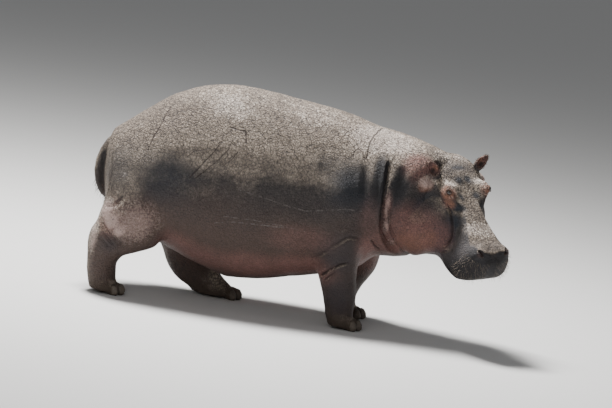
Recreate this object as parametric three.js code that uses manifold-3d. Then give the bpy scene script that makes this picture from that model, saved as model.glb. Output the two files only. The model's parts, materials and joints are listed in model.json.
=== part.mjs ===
// A life-size hippopotamus cow, walking, with her head lowered and turned to her right.
//
// Millimetres, +Z up, +X towards the head end of the trunk, +Y to the animal's left. The soles stand on
// Z = 0, and at the end the whole model is moved so that its origin lies under the middle of its box.
//
// The flesh is made whole, as closed forms joined with manifold-3d, and is then parted with thin cuts
// into named nodes. Eyes and toenails are pieces of their own.
import * as THREE from "three";
import { mergeVertices } from "three/addons/utils/BufferGeometryUtils.js";
import Module from "manifold-3d";

const wasm = await Module();
wasm.setup();

// ---------------------------------------------------------------- driving dimensions
const GAP = 0.4; // width of every cut between two nodes
const FAR = 4000; // reach of a cutting block

const BACK_HEIGHT = 1500; // floor to the highest point of the back
const BELLY_HEIGHT = 196; // floor to the lowest point of the belly
const HALF_GIRTH = 496; // half the width of the barrel

// The head's own frame: origin midway between the ear roots, X to the nose, Y to the animal's left and
// Z out of the forehead.
const HEAD_AT = new THREE.Vector3(1280, -220, 1155);
const HEAD_TURN = { yaw: -51, pitch: 43, roll: 10.7 };
const EYE = { forward: 166, side: 152, up: 36, radius: 23 };
const NOSTRIL = { forward: 648, side: 82, up: -22 };
const MOUTH = { corner: 395, level: -276, slope: 6 };
const EAR = { length: 124, width: 80, thickness: 34, rooted: 12, taper: 0.3 };

const FOOT_TOES = 4;
const TOE_FAN = 33; // degrees between neighbouring toes
const TOE = { reach: 78, long: 62, half: 33, high: 50, level: 22 };
const NAIL = { thickness: 4, depth: 24, lift: 5 };
const ANKLE = 120; // level of the cut between a leg and its foot

// ---------------------------------------------------------------- forms
const rad = THREE.MathUtils.degToRad;

// Yaw turns left, pitch turns the nose down and roll leans to the right, in degrees.
function turned({ yaw = 0, pitch = 0, roll = 0 }) {
  return new THREE.Matrix4().makeRotationFromEuler(new THREE.Euler(rad(roll), rad(pitch), rad(yaw), "ZYX"));
}

// A manifold solid from a closed three.js geometry, its surface moved out by a distance.
function solid(geometry, grow = 0) {
  const bare = geometry.clone();
  for (const name of ["normal", "uv"]) bare.deleteAttribute(name);
  const merged = mergeVertices(bare, 1e-3);
  merged.computeVertexNormals();
  const { position, normal } = merged.attributes;
  const vertProperties = position.array.map((value, i) => value + grow * normal.array[i]);
  const triVerts = new Uint32Array(merged.index.array);
  return new wasm.Manifold(new wasm.Mesh({ numProp: 3, vertProperties, triVerts }));
}

const joined = (solids) => solids.reduce((whole, next) => whole.add(next));
const signedPower = (value, power) => Math.sign(value) * Math.abs(value) ** power;

// How much of its full section a form has at a distance from its rounded end.
function rounding(distance, length, bluntness) {
  if (distance >= length) return 1;
  return Math.max(0, 1 - (1 - distance / length) ** bluntness) ** (1 / bluntness);
}

// Pushes a point by every swelling that reaches it: full at the middle, nothing at the rim.
function swell(point, swellings) {
  const pushed = point.clone();
  for (const { at, reach, push } of swellings) {
    const away = point.clone().sub(new THREE.Vector3(...at)).divide(new THREE.Vector3(...reach));
    const share = Math.max(0, 1 - away.lengthSq()) ** 2;
    pushed.addScaledVector(new THREE.Vector3(...push), share);
  }
  return pushed;
}

// A closed body lofted through sections. Each section has a place, a turn, a half width, reaches up and
// down from its widest line, and a squareness. The rings of a sphere are laid along the sections.
function loft(sections, { sides, rings, start, end, blunt = 2.4, crowd = 0.5, swellings = [] }) {
  const places = [0];
  for (let i = 1; i < sections.length; i++) {
    const step = new THREE.Vector3(...sections[i].at).distanceTo(new THREE.Vector3(...sections[i - 1].at));
    places.push(places[i - 1] + step);
  }
  const length = places.at(-1);
  const values = sections.flatMap(({ at, yaw = 0, pitch = 0, roll = 0, half, up, down, square = 2.1 }) => [
    ...at,
    yaw,
    pitch,
    roll,
    half,
    up,
    down,
    square,
  ]);
  const smooth = new THREE.CubicInterpolant(places, values, values.length / sections.length);

  const geometry = new THREE.SphereGeometry(1, sides, rings).rotateZ(Math.PI / 2);
  const position = geometry.attributes.position;
  const point = new THREE.Vector3();
  for (let i = 0; i < position.count; i++) {
    point.fromBufferAttribute(position, i);
    const ring = Math.acos(THREE.MathUtils.clamp(-point.x, -1, 1)) / Math.PI;
    const along = length * (ring - (crowd * Math.sin(2 * Math.PI * ring)) / (2 * Math.PI));
    const [x, y, z, yaw, pitch, roll, half, up, down, square] = smooth.evaluate(along);
    const size = rounding(along, start, blunt) * rounding(length - along, end, blunt);
    const atPole = Math.hypot(point.y, point.z) < 1e-6;
    const angle = Math.atan2(point.z, point.y);
    const across = signedPower(Math.cos(angle), 2 / square);
    const height = signedPower(Math.sin(angle), 2 / square);
    point.set(0, half * across, (height > 0 ? up : down) * height).multiplyScalar(atPole ? 0 : size);
    point.applyMatrix4(turned({ yaw, pitch, roll })).add(new THREE.Vector3(x, y, z));
    position.setXYZ(i, ...swell(point, swellings).toArray());
  }
  return geometry;
}

// A closed skin drawn over a form with its bulges blended in. The rings of a sphere are laid along a
// spine that runs along X, rounded at both ends, and every point goes out from the spine to where the
// form ends.
function wrap(spine, inside, { sides, rings, caps, reach }) {
  const heights = new THREE.LinearInterpolant(spine.map(([x]) => x), spine.map(([, z]) => z), 1);
  const [first, last] = [spine[0][0], spine.at(-1)[0]];
  const geometry = new THREE.SphereGeometry(1, sides, rings).rotateZ(Math.PI / 2);
  const position = geometry.attributes.position;
  const point = new THREE.Vector3();
  for (let i = 0; i < position.count; i++) {
    point.fromBufferAttribute(position, i);
    const ring = Math.acos(THREE.MathUtils.clamp(-point.x, -1, 1)) / Math.PI;
    const share = THREE.MathUtils.clamp((ring - caps) / (1 - 2 * caps), 0, 1);
    const x = THREE.MathUtils.lerp(first, last, share);
    const lean = ((Math.max(0, ring - 1 + caps) - Math.max(0, caps - ring)) / caps) * (Math.PI / 2);
    const around = Math.atan2(point.z, point.y);
    const base = new THREE.Vector3(x, 0, heights.evaluate(x)[0]);
    const way = new THREE.Vector3(0, Math.cos(around), Math.sin(around)).multiplyScalar(Math.cos(lean));
    way.x = Math.sin(lean);
    let [near, far] = [0, reach];
    for (let step = 0; step < 24; step++) {
      const middle = (near + far) / 2;
      if (inside(base.clone().addScaledVector(way, middle))) near = middle;
      else far = middle;
    }
    position.setXYZ(i, ...base.addScaledVector(way, near).toArray());
  }
  return geometry;
}

// Roughly how far a point lies outside a form: negative inside.
const ballField = (at, half, turn = {}) => {
  const back = turned(turn).setPosition(...at).invert();
  const [a, b, c] = half;
  return (point) => {
    const { x, y, z } = point.clone().applyMatrix4(back);
    return (Math.hypot(x / a, y / b, z / c) - 1) * Math.min(a, b, c);
  };
};

const tubeField = (sections, start, end) => {
  const values = sections.flatMap(({ at, half, up, down, square }) => [at[2], half, up, down, square]);
  const smooth = new THREE.CubicInterpolant(sections.map(({ at }) => at[0]), values, 5);
  const [first, last] = [sections[0].at[0], sections.at(-1).at[0]];
  return ({ x, y, z }) => {
    const along = THREE.MathUtils.clamp(x, first, last);
    const [level, half, up, down, square] = smooth.evaluate(along);
    const size = Math.max(0.02, rounding(along - first, start, 2.4) * rounding(last - along, end, 2.4));
    const [wide, tall] = [half * size, (z > level ? up : down) * size];
    const across = (Math.abs(y / wide) ** square + Math.abs((z - level) / tall) ** square) ** (1 / square);
    return (across - 1) * Math.min(wide, tall) + Math.abs(x - along);
  };
};

// Joins forms so that each melts into the ones before it over its own blend width.
function blended(forms) {
  return (point) =>
    forms.reduce((whole, { field, blend }) => {
      const next = field(point);
      const overlap = Math.max(0, blend - Math.abs(whole - next));
      return Math.min(whole, next) - (overlap * overlap) / (4 * blend || 1);
    }, FAR);
}

// An ellipsoid with its half sizes along X, Y and Z.
function ball(at, half, turn = {}, sides = 14, rings = 10) {
  return new THREE.SphereGeometry(1, sides, rings)
    .rotateX(Math.PI / 2)
    .scale(...half)
    .applyMatrix4(turned(turn))
    .translate(...at);
}

// ---------------------------------------------------------------- trunk
// Upright sections: place along X, top, level of the widest line, bottom, half width.
const upright = (x, top, wide, bottom, half, square = 2.1) => ({
  at: [x, 0, wide],
  half,
  up: top - wide,
  down: wide - bottom,
  square,
});

const bothSides = (make) => [-1, 1].map(make);
const haunches = bothSides((side) => ({
  at: [-830, side * 400, 760],
  reach: [330, 330, 420],
  push: [0, side * 28, 0],
}));
const shoulders = bothSides((side) => ({
  at: [590, side * 430, 900],
  reach: [260, 300, 420],
  push: [0, side * 26, 0],
}));
const tailRoot = { at: [-1090, 0, 960], reach: [240, 300, 240], push: [-44, 0, 0] };
const cleft = { at: [-1120, 0, 680], reach: [150, 90, 260], push: [24, 0, 0] };

const trunk = solid(
  loft(
    [
      upright(-1094, 1110, 800, 580, 270),
      upright(-985, 1144, 790, 500, 334),
      upright(-850, 1252, 780, 450, 386),
      upright(-720, 1351, 770, 390, 424),
      upright(-594, 1425, 760, 340, 454),
      upright(-400, 1487, 745, 262, 482),
      upright(-170, BACK_HEIGHT + 3, 735, BELLY_HEIGHT, HALF_GIRTH),
      upright(60, 1481, 735, 210, HALF_GIRTH),
      upright(270, 1457, 750, 262, 470),
      upright(480, 1430, 790, 308, 430),
      upright(690, 1378, 850, 380, 386),
      upright(900, 1318, 900, 500, 320),
    ],
    {
      sides: 24,
      rings: 21,
      start: 150,
      end: 220,
      blunt: 2.8,
      swellings: [...haunches, ...shoulders, tailRoot, cleft],
    },
  ),
);

// ---------------------------------------------------------------- neck
// From inside the chest to inside the back of the head, bending right and down.
const neck = solid(
  loft(
    [
      { at: [420, 0, 870], half: 390, up: 520, down: 490 },
      { at: [640, -10, 885], yaw: -6, pitch: 3, half: 392, up: 492, down: 478 },
      { at: [820, -38, 905], yaw: -14, pitch: 7, half: 372, up: 448, down: 440 },
      { at: [960, -82, 915], yaw: -24, pitch: 12, half: 344, up: 412, down: 425 },
      { at: [1065, -135, 905], yaw: -36, pitch: 16, half: 296, up: 392, down: 414 },
      { at: [1160, -195, 870], yaw: -46, pitch: 18, half: 232, up: 356, down: 360 },
    ],
    { sides: 22, rings: 12, start: 150, end: 110 },
  ),
);

// ---------------------------------------------------------------- head, in its own frame
const headMatrix = turned(HEAD_TURN).setPosition(HEAD_AT);
const inHead = (geometry, grow = 0) => solid(geometry.applyMatrix4(headMatrix), grow);

const face = tubeField(
  [
    upright(-230, -8, -150, -350, 180, 2.3),
    upright(-90, 26, -130, -340, 194, 2.6),
    upright(40, 40, -100, -310, 184, 2.6),
    upright(150, 8, -100, -280, 146),
    upright(270, -6, -110, -266, 124, 2.4),
    upright(380, -12, -130, -264, 116, 2.6),
    upright(490, -16, -145, -266, 132, 2.8),
    upright(590, -8, -150, -272, 158, 3),
    upright(660, -6, -150, -260, 160, 3),
    upright(728, -26, -150, -238, 136, 2.8),
  ],
  120,
  90,
);

const lowerJaw = tubeField(
  [
    upright(-150, -130, -290, -450, 160),
    upright(20, -110, -310, -552, 196),
    upright(140, -110, -310, -560, 196),
    upright(250, -130, -300, -530, 186),
    upright(350, -180, -290, -476, 176),
    upright(450, -200, -290, -416, 176),
    upright(550, -200, -275, -356, 182, 2.8),
    upright(630, -200, -250, -308, 172, 3),
    upright(702, -200, -230, -274, 134, 2.8),
  ],
  120,
  80,
);

const pair = (blend, make) => bothSides((side) => ({ blend, field: make(side) }));
const cheeks = pair(26, (side) => ballField([150, side * 112, -296], [234, 126, 226], { yaw: side * -5 }));
const foldedJowl = { blend: 60, field: ballField([118, -184, -382], [215, 215, 195]) };
const lumpsUnderEars = pair(40, (side) => ballField([0, side * 160, -92], [76, 72, 66]));
const orbits = pair(34, (side) => ballField([150, side * 126, 4], [76, 58, 70]));
const nostrilRims = pair(40, (side) =>
  ballField([NOSTRIL.forward, side * NOSTRIL.side, NOSTRIL.up], [66, 52, 46]),
);
const lipPads = pair(50, (side) => ballField([608, side * 110, -168], [112, 80, 104]));
const headForm = blended([
  { blend: 0, field: face },
  { blend: 14, field: lowerJaw },
  ...cheeks,
  foldedJowl,
  ...lumpsUnderEars,
  ...orbits,
  ...nostrilRims,
  ...lipPads,
]);

const head = wrap(
  [
    [-120, -150],
    [100, -200],
    [400, -200],
    [660, -160],
  ],
  (point) => headForm(point) < 0,
  { sides: 30, rings: 24, caps: 0.16, reach: 520 },
);

// ---------------------------------------------------------------- legs
// Level sections: height, back edge, front edge, distance from the middle, half width.
const level = (z, back, front, y, half, square = 2.1) => ({
  at: [(back + front) / 2, y, z],
  pitch: 90,
  half,
  up: (front - back) / 2,
  down: (front - back) / 2,
  square,
});

const legs = {
  hind_right: {
    side: -1,
    foot: [-953, -262],
    parting: { at: [-850, 0, 500], slope: 24 },
    sections: [
      level(960, -1000, -600, 190, 160),
      level(820, -1040, -560, 236, 182),
      level(680, -1030, -556, 262, 190),
      level(590, -1062, -570, 270, 184),
      level(490, -1070, -596, 272, 170),
      level(420, -1112, -606, 272, 156),
      level(370, -1124, -622, 270, 144),
      level(340, -1122, -690, 269, 136),
      level(312, -1120, -756, 268, 128),
      level(285, -1116, -826, 266, 120),
      level(250, -1110, -884, 265, 112),
      level(215, -1106, -900, 265, 106),
      level(150, -1098, -896, 264, 101),
      level(95, -1086, -892, 263, 101),
      level(50, -1074, -868, 262, 108),
      level(-14, -1050, -850, 262, 112),
    ],
  },
  hind_left: {
    side: 1,
    foot: [-172, 262],
    parting: { at: [-470, 0, 380], slope: 20 },
    sections: [
      level(960, -960, -520, 190, 160),
      level(820, -950, -440, 236, 186),
      level(680, -900, -390, 262, 194),
      level(540, -830, -350, 272, 180),
      level(420, -740, -320, 272, 156),
      level(330, -660, -290, 270, 136),
      level(260, -622, -270, 267, 120),
      level(190, -592, -238, 265, 108),
      level(130, -548, -180, 264, 102),
      level(85, -490, -128, 263, 102),
      level(45, -420, -100, 262, 108),
      level(-14, -340, -70, 262, 112),
    ],
  },
  front_right: {
    side: -1,
    foot: [668, -250],
    parting: { at: [590, 0, 400], slope: -27 },
    sections: [
      level(900, 420, 720, 190, 150),
      level(770, 392, 736, 232, 180),
      level(620, 396, 728, 254, 182),
      level(480, 414, 716, 262, 164),
      level(380, 436, 716, 262, 144),
      level(310, 466, 724, 260, 126),
      level(240, 494, 734, 256, 112),
      level(170, 514, 738, 253, 104),
      level(105, 534, 732, 251, 102),
      level(50, 556, 752, 250, 108),
      level(-14, 580, 762, 250, 112),
    ],
  },
  front_left: {
    side: 1,
    foot: [694, 250],
    parting: { at: [700, 0, 420], slope: -22 },
    sections: [
      level(900, 520, 830, 190, 150),
      level(770, 498, 858, 232, 180),
      level(620, 500, 872, 254, 182),
      level(480, 512, 868, 262, 166),
      level(390, 530, 858, 262, 148),
      level(320, 540, 832, 260, 130),
      level(240, 540, 776, 256, 112),
      level(170, 530, 744, 253, 104),
      level(105, 540, 742, 251, 102),
      level(50, 575, 772, 250, 108),
      level(-14, 600, 788, 250, 112),
    ],
  },
};

const aboveFloor = solid(new THREE.BoxGeometry(FAR, FAR, FAR).translate(0, 0, FAR / 2));

function legForm({ side, sections }, grow = 0) {
  const placed = sections.map(({ at: [x, y, z], ...rest }) => ({ at: [x, side * y, z], ...rest }));
  return solid(loft(placed, { sides: 14, rings: 19, start: 160, end: 12, crowd: 0.3 }), grow);
}

const toeNumbers = Array.from({ length: FOOT_TOES }, (_, index) => index);
const toeTurn = (index) => (index - (FOOT_TOES - 1) / 2) * TOE_FAN;

function toe({ foot: [x, y] }, index, grow = 0) {
  const yaw = toeTurn(index);
  const at = [x + TOE.reach * Math.cos(rad(yaw)), y + TOE.reach * Math.sin(rad(yaw)), TOE.level];
  return solid(ball(at, [TOE.long, TOE.half, TOE.high], { yaw, pitch: 8 }, 8, 5), grow);
}

// The hard nail is the foremost slice of a slightly larger toe.
function nail(leg, index, grow = 0) {
  const yaw = toeTurn(index);
  const [x, y] = leg.foot;
  const reach = TOE.reach + TOE.long + NAIL.thickness - NAIL.depth;
  const tall = 2 * TOE.high;
  const front = new THREE.BoxGeometry(tall, tall, tall)
    .translate(tall / 2 - grow, 0, tall / 2 + NAIL.lift - grow)
    .applyMatrix4(turned({ yaw, pitch: -16 }))
    .translate(x + reach * Math.cos(rad(yaw)), y + reach * Math.sin(rad(yaw)), 0);
  return toe(leg, index, NAIL.thickness + grow).intersect(solid(front));
}

// ---------------------------------------------------------------- tail
const tailForm = (grow = 0) =>
  solid(
    loft(
      [
        level(1034, -1080, -950, 0, 66),
        level(975, -1112, -1020, 0, 60),
        level(900, -1143, -1060, 0, 52),
        level(809, -1155, -1084, 0, 48),
        level(730, -1147, -1078, 0, 46),
        level(668, -1121, -1056, 0, 42),
        level(625, -1092, -1030, 0, 32),
        level(596, -1066, -1022, 0, 18),
      ],
      { sides: 9, rings: 9, start: 40, end: 34 },
    ),
    grow,
  );

// ---------------------------------------------------------------- ears
// A spoon: an egg standing out of the head, hollowed on the side that faces forward.
const ears = {
  right: { root: [8, -170, -2], stand: [-0.7, -0.38, 0.58], facing: [0.62, -0.5, 0.4] },
  left: { root: [-26, 156, 6], stand: [-0.445, 0.77, 0.6], facing: [0.8, -0.2, 0.6] },
};

function earEgg({ root, stand, facing }, half, at, grow = 0) {
  const up = new THREE.Vector3(...stand).normalize();
  const side = up.clone().cross(new THREE.Vector3(...facing)).normalize();
  const frame = new THREE.Matrix4().makeBasis(side.clone().cross(up), side, up).setPosition(...root);
  const geometry = ball([0, 0, 0], half, {}, 10, 7);
  const position = geometry.attributes.position;
  for (let i = 0; i < position.count; i++)
    position.setY(i, position.getY(i) * (1 - (EAR.taper * position.getZ(i)) / half[2]));
  return inHead(geometry.translate(...at).applyMatrix4(frame), grow);
}

function earOutside(shape, grow = 0) {
  const { length, width, thickness, rooted } = EAR;
  const half = [thickness / 2, width / 2, length / 2 + rooted];
  return earEgg(shape, half, [0, 0, length / 2 - rooted], grow);
}

function earHollow(shape) {
  const { length, width, thickness } = EAR;
  return earEgg(shape, [thickness * 0.62, width * 0.37, length * 0.4], [thickness * 0.5, 0, length * 0.5]);
}

// ---------------------------------------------------------------- parting the flesh
// Everything ahead of a plane that stands at a place and faces along its own X.
const ahead = (at, turn, grow = 0) =>
  solid(
    new THREE.BoxGeometry(FAR, FAR, FAR)
      .translate(FAR / 2 - grow, 0, 0)
      .applyMatrix4(turned(turn))
      .translate(...at),
  );

// The crumbs that a cut leaves along a thin edge fall away.
const largest = (body) => body.decompose().sort((one, other) => other.volume() - one.volume())[0];

const eyeBall = (side, grow = 0) =>
  inHead(ball([EYE.forward, side * EYE.side, EYE.up], Array(3).fill(EYE.radius), {}, 10, 7), grow);

const nodes = new Map();
const legForms = Object.values(legs).map((leg) => legForm(leg));
let body = joined([trunk, neck, inHead(head), ...legForms]).intersect(aboveFloor);

bothSides((side) => {
  nodes.set(side < 0 ? "eye_right" : "eye_left", eyeBall(side));
  body = body.subtract(eyeBall(side, GAP));
});
for (const [side, shape] of Object.entries(ears)) {
  nodes.set(`ear_${side}`, earOutside(shape).subtract(earHollow(shape)));
  body = body.subtract(earOutside(shape, GAP));
}
nodes.set("tail", tailForm());
body = body.subtract(tailForm(GAP));

for (const [name, leg] of Object.entries(legs)) {
  const below = (grow) => ahead(leg.parting.at, { pitch: 90 + leg.parting.slope }, grow);
  const toes = joined(toeNumbers.map((index) => toe(leg, index)));
  const nailBeds = joined(toeNumbers.map((index) => nail(leg, index, GAP)));
  const limb = legForm(leg).intersect(below(0)).add(toes).intersect(aboveFloor).subtract(nailBeds);
  nodes.set(`leg_${name}`, limb.intersect(ahead([0, 0, ANKLE + GAP], { pitch: -90 })));
  nodes.set(`foot_${name}`, limb.intersect(ahead([0, 0, ANKLE], { pitch: 90 })));
  for (const index of toeNumbers)
    nodes.set(`nail_${name}_${index + 1}`, nail(leg, index).intersect(aboveFloor));
  body = body.subtract(legForm(leg, GAP).intersect(below(GAP)));
}

const headCut = { at: [1182, 0, 900], turn: { yaw: -40 } };
const neckCut = { at: [809, 0, 900], turn: { yaw: -17 } };
const belowMouth = (grow) =>
  inHead(
    new THREE.BoxGeometry(FAR, FAR, FAR)
      .translate(FAR / 2 - grow, 0, -FAR / 2 + grow)
      .applyMatrix4(turned({ pitch: -MOUTH.slope }))
      .translate(MOUTH.corner, 0, MOUTH.level),
  );

const headFlesh = body.intersect(ahead(headCut.at, headCut.turn));
nodes.set("head", headFlesh.subtract(belowMouth(GAP)));
nodes.set("lower_jaw", headFlesh.intersect(belowMouth(0)));
body = body.subtract(ahead(headCut.at, headCut.turn, GAP));
nodes.set("neck", body.intersect(ahead(neckCut.at, neckCut.turn)));
nodes.set("trunk", body.subtract(ahead(neckCut.at, neckCut.turn, GAP)));

// ---------------------------------------------------------------- meshes
const hide = new THREE.MeshStandardMaterial({ color: 0x6d6260, roughness: 0.75, metalness: 0 });
const horn = new THREE.MeshStandardMaterial({ color: 0x4a4038, roughness: 0.5, metalness: 0 });
const wetEye = new THREE.MeshStandardMaterial({ color: 0x1c120c, roughness: 0.1, metalness: 0 });

function meshOf(name, solidBody, material) {
  const { vertProperties, triVerts, numProp, numVert } = solidBody.getMesh();
  const positions = new Float32Array(numVert * 3);
  for (let i = 0; i < numVert; i++)
    positions.set(vertProperties.subarray(i * numProp, i * numProp + 3), i * 3);
  const geometry = new THREE.BufferGeometry();
  geometry.setAttribute("position", new THREE.BufferAttribute(positions, 3));
  geometry.setIndex(new THREE.BufferAttribute(triVerts, 1));
  geometry.computeVertexNormals();
  const mesh = new THREE.Mesh(geometry, material);
  mesh.name = name;
  return mesh;
}

const hippopotamus = new THREE.Group();
for (const [name, part] of nodes) {
  const material = name.startsWith("nail") ? horn : name.startsWith("eye") ? wetEye : hide;
  hippopotamus.add(meshOf(name, largest(part), material));
}
const middle = new THREE.Box3().setFromObject(hippopotamus).getCenter(new THREE.Vector3());
hippopotamus.position.set(-middle.x, -middle.y, 0);

export default hippopotamus;
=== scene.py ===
import json
import math

import bpy
import numpy as np
from mathutils import Matrix, Vector

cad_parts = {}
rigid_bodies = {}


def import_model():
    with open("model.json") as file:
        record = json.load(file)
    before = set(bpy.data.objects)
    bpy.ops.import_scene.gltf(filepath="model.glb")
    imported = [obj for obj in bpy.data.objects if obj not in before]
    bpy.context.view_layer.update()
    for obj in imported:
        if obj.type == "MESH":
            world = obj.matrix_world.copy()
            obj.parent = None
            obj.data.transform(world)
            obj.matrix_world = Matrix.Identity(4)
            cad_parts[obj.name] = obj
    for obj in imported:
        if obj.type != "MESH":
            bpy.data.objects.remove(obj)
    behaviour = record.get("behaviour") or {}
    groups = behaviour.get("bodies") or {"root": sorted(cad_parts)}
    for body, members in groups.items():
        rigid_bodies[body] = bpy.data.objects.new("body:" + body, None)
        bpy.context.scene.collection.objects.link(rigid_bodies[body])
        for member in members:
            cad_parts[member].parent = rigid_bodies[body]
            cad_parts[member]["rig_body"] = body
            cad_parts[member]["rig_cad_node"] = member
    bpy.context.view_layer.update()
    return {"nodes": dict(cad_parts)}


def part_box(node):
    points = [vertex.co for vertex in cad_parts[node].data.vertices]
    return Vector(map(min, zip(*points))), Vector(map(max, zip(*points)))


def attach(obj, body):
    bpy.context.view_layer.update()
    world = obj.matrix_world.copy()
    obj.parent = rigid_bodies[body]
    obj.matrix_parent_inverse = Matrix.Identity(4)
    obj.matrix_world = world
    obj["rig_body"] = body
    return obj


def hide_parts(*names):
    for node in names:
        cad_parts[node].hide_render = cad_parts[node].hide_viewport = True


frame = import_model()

bpy.ops.object.select_all(action="DESELECT")

# ---------------------------------------------------------------- camera
# A long lens at the height of a standing person's chest, far off the right flank and leaned over a
# little, because the animal walks across a slope that here is laid level.
look_down = math.radians(8)
lean = math.radians(8.7)
reach = 25
aim = Vector((0.0309, 0.0795, 0.763))
across = Vector((math.cos(lean), math.sin(lean) * math.sin(look_down), math.sin(lean) * math.cos(look_down)))
upward = Vector((-math.sin(lean), math.cos(lean) * math.sin(look_down), math.cos(lean) * math.cos(look_down)))
backward = across.cross(upward)
bpy.ops.object.camera_add()
camera = bpy.context.object
camera.name = "camera"
camera.matrix_world = (
    Matrix.Translation(aim + reach * backward) @ Matrix((across, upward, backward)).transposed().to_4x4()
)
camera.data.sensor_width = 36
camera.data.lens = 36 * reach / 4.1616
camera.data.clip_end = 400
bpy.context.scene.camera = camera

# ---------------------------------------------------------------- hide: drawn over the flesh
# One seamless bare skin over the whole animal, up to 5 cm thick in life and slack over the barrel. It is
# drawn over the flesh, the filled eye sockets and the nail beds at once, and let sag smooth.
flesh = [name for name in frame["nodes"] if not name.startswith(("eye", "nail"))]
nail_nodes = sorted(name for name in frame["nodes"] if name.startswith("nail"))
MIDDLE = 0.0795  # the plane that parts the trunk into left and right


def copied(node):
    piece = frame["nodes"][node].copy()
    piece.data = piece.data.copy()
    piece.parent = None
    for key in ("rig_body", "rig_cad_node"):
        del piece[key]
    bpy.context.scene.collection.objects.link(piece)
    bpy.context.view_layer.objects.active = piece
    piece.select_set(True)
    bpy.ops.object.mode_set(mode="EDIT")
    bpy.ops.mesh.select_all(action="SELECT")
    bpy.ops.mesh.remove_doubles(threshold=0.00002)
    bpy.ops.object.mode_set(mode="OBJECT")
    return piece


def finished(piece, kind, **settings):
    bpy.context.view_layer.objects.active = piece
    modifier = piece.modifiers.new(kind.lower(), kind)
    for name, value in settings.items():
        setattr(modifier, name, value)
    bpy.ops.object.modifier_apply(modifier=modifier.name)


for name in frame["nodes"]:
    piece = copied(name)
    if name.startswith("ear"):
        bpy.ops.object.mode_set(mode="EDIT")
        bpy.ops.mesh.select_all(action="SELECT")
        bpy.ops.mesh.convex_hull()
        bpy.ops.object.mode_set(mode="OBJECT")
    finished(piece, "DISPLACE", strength=-0.003 if name.startswith("nail") else 0.0006, mid_level=0)
bpy.ops.object.join()
hide = bpy.context.object
hide.name = "hide"
hide.data.name = "hide"
finished(hide, "REMESH", mode="VOXEL", voxel_size=0.0085)

head_matrix = Matrix.Translation((1.0069, -0.1405, 1.155)) @ (
    Matrix.Rotation(math.radians(-51), 4, "Z")
    @ Matrix.Rotation(math.radians(43), 4, "Y")
    @ Matrix.Rotation(math.radians(10.7), 4, "X")
)
head_frame = np.array(head_matrix)


# the head's own frame: x to the nose, y to the animal's left, z out of the forehead
def in_head(points):
    return (np.asarray(points, float) - head_frame[:3, 3]) @ head_frame[:3, :3]


def from_head(points):
    return np.asarray(points, float) @ head_frame[:3, :3].T + head_frame[:3, 3]


def read(piece, what="co"):
    values = np.empty(len(piece.data.vertices) * 3)
    piece.data.vertices.foreach_get(what, values)
    return values.reshape(-1, 3)


def ramp(value, low, high):
    share = np.clip((value - low) / (high - low), 0, 1)
    return share * share * (3 - 2 * share)


def near(points, at, size, core=0.6):
    return ramp(np.linalg.norm((points - np.asarray(at)) / np.asarray(size), axis=1), 1, core)


def ear_frame(root, stand, facing):
    up = np.array(stand) / np.linalg.norm(stand)
    side = np.cross(up, facing)
    side /= np.linalg.norm(side)
    axes = np.stack([np.cross(side, up), side, up], axis=1)
    return from_head(root), head_frame[:3, :3] @ axes


eyes = {
    side: (from_head((0.166, side * 0.152, 0.036)), head_frame[:3, :3] @ (0.38, side * 0.70, 0.58)) for side in (-1, 1)
}
ears = {
    -1: ear_frame((0.008, -0.170, -0.002), (-0.7, -0.38, 0.58), (0.62, -0.5, 0.4)),
    1: ear_frame((-0.026, 0.156, 0.006), (-0.445, 0.77, 0.6), (0.8, -0.2, 0.6)),
}

spots = read(hide)
head_spots = in_head(spots)
ahead = ramp(head_spots[:, 0] * 0.75 - head_spots[:, 2] * 0.15 + 0.1, -0.12, 0.1) * ramp(spots[:, 0], 0.6, 0.75)
leg_share = ramp(spots[:, 2], 0.5, 0.3) * (1 - ahead)
foot_share = ramp(spots[:, 2], 0.14, 0.08) * (1 - ahead)
slack = 1 - 0.90 * ahead
slack = np.maximum(slack, 0.75 * near(spots, from_head((0.10, -0.25, -0.36)), 0.30))
slack = np.minimum(slack, 0.06 + 2 * np.clip(np.linalg.norm(head_spots - (0.16, -0.14, 0), axis=1) - 0.09, 0, 1))
slack = slack * (1 - leg_share) + 0.26 * leg_share
slack = slack * (1 - foot_share) + 0.016 * foot_share
tail_low, tail_high = (np.array(corner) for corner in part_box("tail"))
slack[np.all((spots > tail_low - 0.005) & (spots < tail_high + 0.005), axis=1)] = 0.05
for ear in ("ear_right", "ear_left"):
    low, high = (np.array(corner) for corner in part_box(ear))
    slack[np.linalg.norm(spots - (low + high) / 2, axis=1) < 0.075] = 0.02
weights = hide.vertex_groups.new(name="slack")
steps = np.round(slack, 2)
for step in np.unique(steps):
    weights.add(np.flatnonzero(steps == step).tolist(), max(float(step), 0.01), "REPLACE")
finished(hide, "SMOOTH", factor=0.5, iterations=140, vertex_group="slack")


def finer(zones):
    middles = np.empty(len(hide.data.polygons) * 3)
    hide.data.polygons.foreach_get("center", middles)
    middles = middles.reshape(-1, 3)
    chosen = np.zeros(len(middles), bool)
    for at, size in zones:
        chosen |= np.linalg.norm(middles - at, axis=1) < size
    hide.data.vertices.foreach_set("select", np.zeros(len(hide.data.vertices), bool))
    hide.data.edges.foreach_set("select", np.zeros(len(hide.data.edges), bool))
    hide.data.polygons.foreach_set("select", chosen)
    bpy.ops.object.mode_set(mode="EDIT")
    bpy.ops.mesh.select_mode(type="FACE")
    bpy.ops.mesh.subdivide(number_cuts=1, smoothness=0)
    bpy.ops.object.mode_set(mode="OBJECT")


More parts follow.
